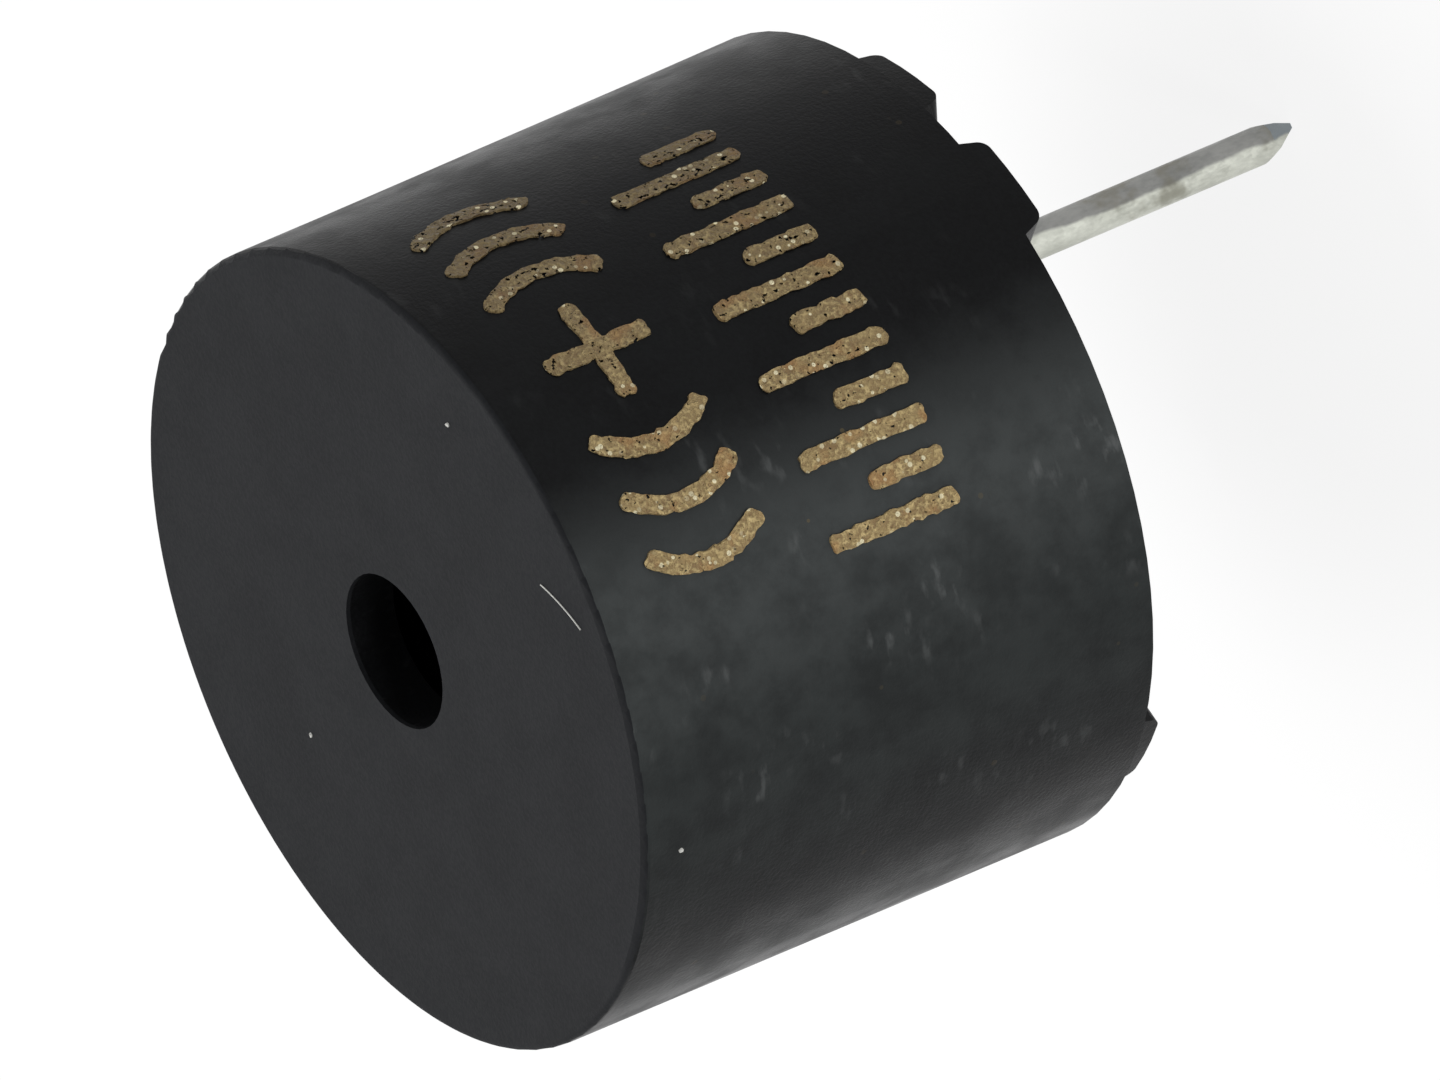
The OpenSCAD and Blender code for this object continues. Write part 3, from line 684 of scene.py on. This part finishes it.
# gold ink: crumbly, coppery in places, with painted shade that makes it thinner and darker towards one end
# round the wall
def markInk(look):
    material, tree, shader, place = startMaterial("markInk")
    turn = turnNode(tree, splitPlace(tree, place, -1200, -300), -1000, -300)
    # painted shade: more of it further round the wall, towards +40 degrees
    inkShade = stepNode(tree, turn, *(math.radians(angle) for angle in look["inkShadeFrom"]), -800, -400)
    grain = placeGroup(tree, grainGroup, -800, 0, Vector=place, **look["grain"])
    feed(tree, shader, "Base Color", inkTone(tree, place, grain, inkShade, look))
    feed(tree, shader, "Roughness", rangeNode(tree, grain.outputs["Grain"], *look["roughness"], 0, -150))
    feed(tree, shader, "Specular IOR Level", look["specular"])
    feed(tree, shader, "Alpha", inkCover(tree, place, inkShade, look))
    addBump(tree, shader, grain.outputs["Height"], look["bumpStrength"], look["bump"])
    return material


# a plus between three pairs of arcs, over a row of long and short ticks
def addMarking(look, material):
    bm = bmesh.new()
    bottom, top = look["upperRow"]
    addPlus(bm, (bottom + top) / 2, look)
    for apex in look["arcApexes"]:
        for side in (-1, 1):
            addArc(bm, apex, bottom, top, side, look)
    base, upper = look["lowerRow"]
    pitch = (look["scaleTo"] - look["scaleFrom"] - look["stroke"]) / look["scaleSteps"]
    for step in range(look["scaleSteps"] + 1):
        left = look["scaleFrom"] + step * pitch
        height = upper if step % 2 == 0 else base + look["shortTick"]
        addStroke(bm, (left, base), (left + look["stroke"], height), look)
    roundEnds(bm, look)
    cutSteps(bm, look)
    bendOnWall(bm, look)
    piece = finishPiece("markStrokes", bm, material)


addMarking(marking, markInk(markLook))
print("marking made")


fluff = {
    "dark": (175, 175, 170), "light": (205, 205, 200), "roughness": (0.6, 0.8), "metallic": 0.0,
    "coarse": 9000.0, "fine": 40000.0, "fineShare": 0.5, "bump": 0.002 * mm, "specular": 0.3,
}

fibre = {
    "centre": (1.495, -3.023),   # of its bend
    "bend": 2.9,
    "from": -1.4,                # degrees round the centre
    "to": 17.7,
    "radius": 0.011,
    "sides": 8,
    "steps": 28,
    "level": housingHigh[2] / mm,
    "seat": 0.8,                 # how high its middle lies over the face, in radii
}


def addFibre(look, material):
    bm = bmesh.new()
    ring = bmesh.ops.create_circle(bm, cap_ends=True, segments=look["sides"], radius=look["radius"])
    centre = Vector((*look["centre"], look["level"]))
    start = centre + Vector((look["bend"], 0, look["radius"] * look["seat"]))
    bmesh.ops.rotate(bm, verts=ring["verts"], cent=(0, 0, 0),
                     matrix=Matrix.Rotation(math.radians(90), 3, "X"))
    bmesh.ops.translate(bm, verts=ring["verts"], vec=start)
    bmesh.ops.rotate(bm, verts=ring["verts"], cent=centre,
                     matrix=Matrix.Rotation(math.radians(look["from"]), 3, "Z"))
    face = bm.faces[:][0]
    bmesh.ops.spin(bm, geom=[face, *face.edges, *face.verts], cent=centre, axis=(0, 0, 1),
                   angle=math.radians(look["to"] - look["from"]), steps=look["steps"],
                   use_merge=False, use_duplicate=False)
    piece = finishPiece("clingingFibre", bm, material, smooth=True)


specks = {
    "onFace": ((4.82, 0.4), (-3.19, 0.96)),
    "onWall": ((1.98, -5.58, 8.49),),
    "level": housingHigh[2] / mm,
    "size": 0.035,
    "lumpy": 0.5,
    "seed": 3,                   # noise_vector draws its offsets from this, else from the clock
}


def addSpecks(look, material):
    noise.seed_set(look["seed"])
    bm = bmesh.new()
    for place in [(*spot, look["level"]) for spot in look["onFace"]] + list(look["onWall"]):
        ball = bmesh.ops.create_icosphere(bm, subdivisions=2, radius=look["size"],
                                          matrix=Matrix.Translation(place))
        for v in ball["verts"]:
            v.co += noise.noise_vector(v.co / look["size"]) * look["size"] * look["lumpy"]
    piece = finishPiece("dustLumps", bm, material)


paleFluff = grainedFinish("paleFluff", fluff)
addFibre(fibre, paleFluff)
addSpecks(specks, paleFluff)
print("fibre and specks made")


stage = {
    "floorLevel": cadBox[0][2] - 0.01 * mm,
    "floorSize": 0.8,
    "floorColour": (245, 245, 245),
    "whiteShare": (0.85, 1.0),   # of plain white paper, by the object and far from it
    "farFrom": (0.02, 0.12),
    "ambient": 0.5,
}


# 1 for what the camera sees directly, in gloss or through glass
def seenRays(tree, x, y):
    path = addNode(tree, "ShaderNodeLightPath", x, y)
    seen = mathNode(tree, "MAXIMUM", path.outputs["Is Camera Ray"], path.outputs["Is Glossy Ray"], x + 200, y)
    return mathNode(tree, "MAXIMUM", seen, path.outputs["Is Transmission Ray"], x + 400, y)


# paper that keeps the shadow, and is plain white far from the object
def floorPaper(look):
    material = bpy.data.materials.new("floorPaper")
    material.use_nodes = True
    tree = material.node_tree
    tree.nodes.remove(tree.nodes["Principled BSDF"])
    paper = addNode(tree, "ShaderNodeBsdfDiffuse", -200, 100)
    feed(tree, paper, "Color", screenColour(*look["floorColour"]))
    white = addNode(tree, "ShaderNodeEmission", -200, -100)
    feed(tree, white, "Color", (1, 1, 1, 1))
    feed(tree, white, "Strength", 1.0)
    place = addNode(tree, "ShaderNodeTexCoord", -1100, -200).outputs["Object"]
    distance = addNode(tree, "ShaderNodeVectorMath", -900, -200, operation="LENGTH")
    feed(tree, distance, 0, place)
    far = stepNode(tree, distance.outputs["Value"], *look["farFrom"], -700, -200)
    share = rangeNode(tree, far, *look["whiteShare"], -500, -200)
    blend = addNode(tree, "ShaderNodeMixShader", 100, 0)
    feed(tree, blend, 0, mathNode(tree, "MULTIPLY", seenRays(tree, -900, 300), share, -300, 300))
    feed(tree, blend, 1, paper.outputs[0])
    feed(tree, blend, 2, white.outputs[0])
    feed(tree, tree.nodes["Material Output"], "Surface", blend.outputs[0])
    return material


def addFloor(look):
    bm = bmesh.new()
    bmesh.ops.create_grid(bm, x_segments=1, y_segments=1, size=look["floorSize"] / 2,
                          matrix=Matrix.Translation((0, 0, look["floorLevel"])))
    mesh = bpy.data.meshes.new("floorSheet")
    bm.to_mesh(mesh)
    bm.free()
    mesh.materials.append(floorPaper(look))
    floor = bpy.data.objects.new("floorSheet", mesh)
    scene.collection.objects.link(floor)


def addWorld(look):
    world = bpy.data.worlds.new("studioAir")
    scene.world = world
    world.use_nodes = True
    tree = world.node_tree
    background = tree.nodes["Background"]
    feed(tree, background, "Color", (1, 1, 1, 1))
    seen = seenRays(tree, -900, 0)
    feed(tree, background, "Strength", rangeNode(tree, seen, look["ambient"], 1.0, -300, 0))


# azimuth is turned from +X, seen from above
def direction(azimuth, elevation):
    a, e = math.radians(azimuth), math.radians(elevation)
    return Vector((math.cos(a) * math.cos(e), math.sin(a) * math.cos(e), math.sin(e)))


lamps = {
    "overheadLamp": {"azimuth": 150, "elevation": 70, "distance": 0.25, "size": 0.24, "power": 0.55},
    "sideLamp": {"azimuth": -112, "elevation": 14, "distance": 0.25, "size": 0.14, "power": 0.06},
    "frontLamp": {"azimuth": -52, "elevation": 10, "distance": 0.3, "size": 0.05, "power": 0.25},
}


def addLamps(looks):
    for name, look in looks.items():
        lamp = bpy.data.lights.new(name, "AREA")
        lamp.shape, lamp.size, lamp.energy = "DISK", look["size"], look["power"]
        holder = bpy.data.objects.new(name, lamp)
        towards = direction(look["azimuth"], look["elevation"])
        holder.location = towards * look["distance"]
        holder.rotation_mode = "QUATERNION"
        holder.rotation_quaternion = (-towards).to_track_quat("-Z", "Y")
        scene.collection.objects.link(holder)


cameraView = {
    "azimuth": -27.3,
    "elevation": 28.15,
    "roll": -113.16,
    "distance": 502.1 * mm,
    "aim": (0.143 * mm, -0.473 * mm, 3.907 * mm),
    "lens": 905.0,
    "sensor": 36.0,
    "clip": (0.01, 10),
}


def addCamera(look):
    camera = bpy.data.cameras.new("studioCamera")
    camera.lens, camera.sensor_width = look["lens"], look["sensor"]
    camera.clip_start, camera.clip_end = look["clip"]
    holder = bpy.data.objects.new("studioCamera", camera)
    back = direction(look["azimuth"], look["elevation"])
    roll = Quaternion((0, 0, 1), math.radians(look["roll"]))
    holder.location = Vector(look["aim"]) + back * look["distance"]
    holder.rotation_mode = "QUATERNION"
    holder.rotation_quaternion = (-back).to_track_quat("-Z", "Y") @ roll
    scene.collection.objects.link(holder)
    scene.camera = holder


addFloor(stage)
addWorld(stage)
addLamps(lamps)
addCamera(cameraView)
print("floor, lamps and camera made")
